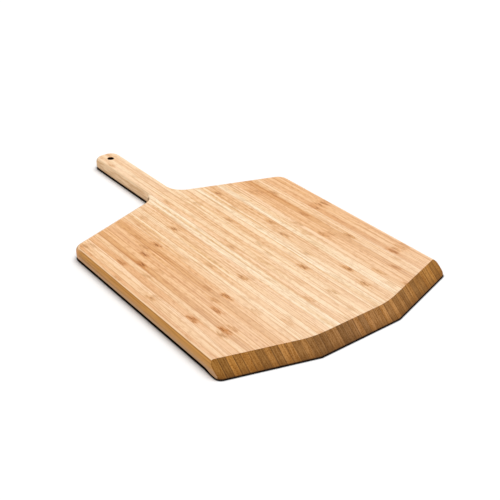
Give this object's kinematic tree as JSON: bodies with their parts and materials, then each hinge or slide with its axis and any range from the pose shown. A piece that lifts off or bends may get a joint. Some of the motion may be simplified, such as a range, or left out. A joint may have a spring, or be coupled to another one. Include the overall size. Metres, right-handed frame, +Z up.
{
  "type": "pizza peel",
  "caption": "Bamboo pizza peel and serving board: a flat blade glued up from narrow staves, with a bevelled leading edge, sloping shoulders and a short handle with a hanging hole.",
  "frame": {"origin": "middle of the peel's outline, on the surface that it lies on", "axes": "+Y along the handle, away from the bevelled front edge; +Z up out of the top face; +X to the right when +Y points away"},
  "size_m": [0.309, 0.521, 0.015],
  "materials": {
    "bamboo_straw": "satin oiled bamboo",
    "bamboo_honey": "satin oiled bamboo",
    "bamboo_cream": "satin oiled bamboo",
    "bamboo_blond": "satin oiled bamboo",
    "bamboo_tan": "satin oiled bamboo"
  },
  "bodies": {
    "root": {"stave_left_01": "bamboo_honey", "stave_left_02": "bamboo_cream", "stave_left_03": "bamboo_straw", "stave_left_04": "bamboo_straw", "stave_left_05": "bamboo_cream", "stave_left_06": "bamboo_honey", "stave_left_07": "bamboo_cream", "stave_left_08": "bamboo_straw", "stave_left_09": "bamboo_straw", "stave_left_10": "bamboo_cream", "stave_left_11": "bamboo_honey", "stave_left_12": "bamboo_cream", "stave_left_13": "bamboo_straw", "stave_left_14": "bamboo_straw", "stave_left_15": "bamboo_cream", "stave_left_16": "bamboo_honey", "stave_left_17": "bamboo_cream", "stave_left_18": "bamboo_straw", "stave_left_19": "bamboo_straw", "stave_left_20": "bamboo_cream", "stave_left_21": "bamboo_honey", "stave_right_01": "bamboo_tan", "stave_right_02": "bamboo_straw", "stave_right_03": "bamboo_blond", "stave_right_04": "bamboo_blond", "stave_right_05": "bamboo_straw", "stave_right_06": "bamboo_tan", "stave_right_07": "bamboo_straw", "stave_right_08": "bamboo_blond", "stave_right_09": "bamboo_blond", "stave_right_10": "bamboo_straw", "stave_right_11": "bamboo_tan", "stave_right_12": "bamboo_straw", "stave_right_13": "bamboo_blond", "stave_right_14": "bamboo_blond", "stave_right_15": "bamboo_straw", "stave_right_16": "bamboo_tan", "stave_right_17": "bamboo_straw", "stave_right_18": "bamboo_blond", "stave_right_19": "bamboo_blond", "stave_right_20": "bamboo_straw", "stave_right_21": "bamboo_tan"}
  },
  "joints": []
}
